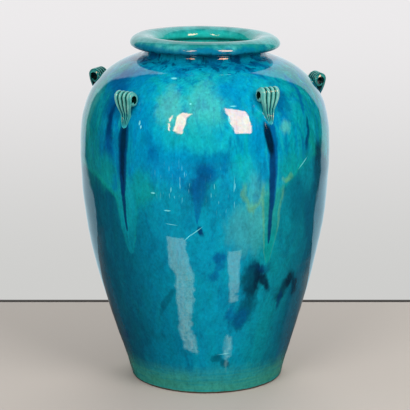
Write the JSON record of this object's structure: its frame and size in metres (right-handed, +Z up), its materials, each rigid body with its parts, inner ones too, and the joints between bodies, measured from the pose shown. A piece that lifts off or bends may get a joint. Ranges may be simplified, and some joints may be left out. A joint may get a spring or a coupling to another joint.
{
  "type": "storage jar",
  "caption": "Tall round-bellied glazed stoneware storage jar with a low neck, a rolled rim and small ribbed scroll lugs round the shoulder.",
  "frame": {"origin": "middle of the underside, on the surface that the jar stands on", "axes": "+Z up along the axis of the turned body; the front is towards -Y, midway between two lugs; one lug stands at the back on +Y"},
  "size_m": [0.4724, 0.4724, 0.66],
  "materials": {
    "foot_glaze": "gloss glaze, dark teal",
    "lower_glaze": "gloss glaze, deep blue-teal",
    "belly_glaze": "gloss glaze, blue-teal",
    "shoulder_glaze": "gloss glaze, turquoise",
    "neck_glaze": "gloss glaze, cobalt",
    "rim_glaze": "gloss glaze, green-teal",
    "lug_glaze": "gloss glaze, pale green"
  },
  "bodies": {
    "root": {"base_slab": "foot_glaze", "lower_wall": "lower_glaze", "belly_wall": "belly_glaze", "shoulder_wall": "shoulder_glaze", "neck_collar": "neck_glaze", "rim_coil": "rim_glaze", "lug_1": "lug_glaze", "lug_2": "lug_glaze", "lug_3": "lug_glaze", "lug_4": "lug_glaze", "lug_5": "lug_glaze"}
  },
  "joints": []
}
